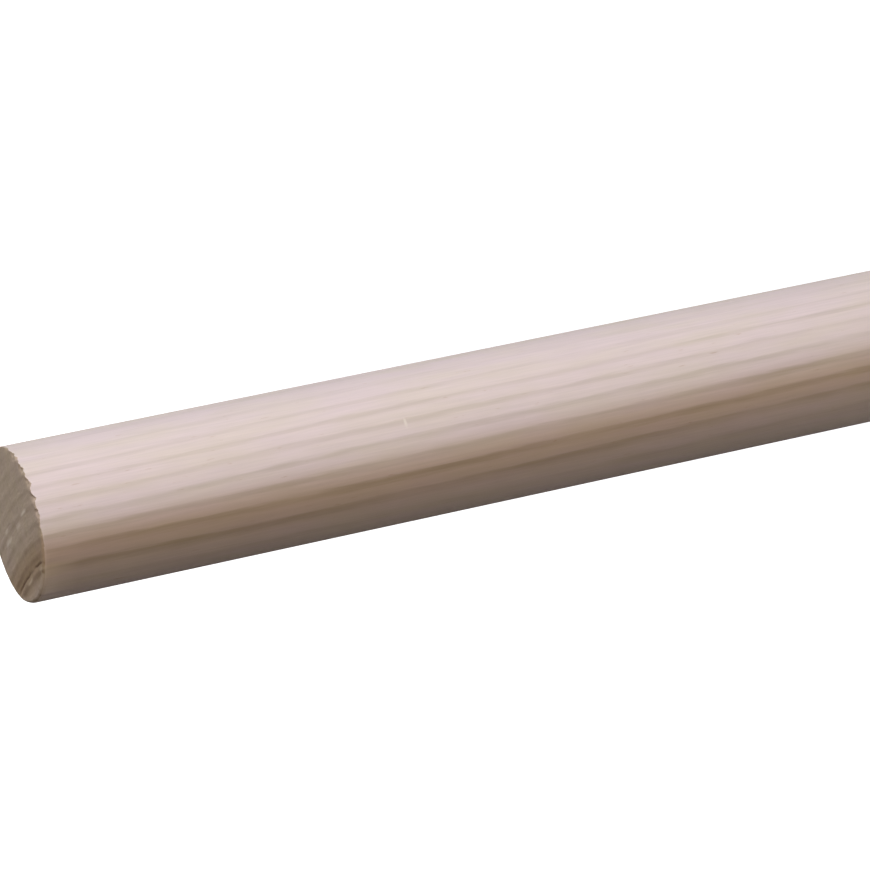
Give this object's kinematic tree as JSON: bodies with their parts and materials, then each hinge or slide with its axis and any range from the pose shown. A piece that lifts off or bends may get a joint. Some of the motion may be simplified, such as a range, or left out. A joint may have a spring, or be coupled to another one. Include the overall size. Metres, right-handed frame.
{
  "type": "wooden dowel rod",
  "caption": "Straight round wooden rod for pegs, axles, rails and craft work, sawn square across one end with the growth rings showing, plain and lightly eased at the other.",
  "frame": {"origin": "centre of the plain end's face, which the rod stands on", "axes": "+Z along the rod's axis from the plain end to the sawn end; +X turned 20 degrees from the side that faces the bark"},
  "size_m": [0.025, 0.025, 0.3],
  "materials": {
    "wood": "bare pale softwood, machined round along the grain, saw-torn end grain, no varnish"
  },
  "bodies": {
    "root": {"rod": "wood"}
  },
  "joints": []
}
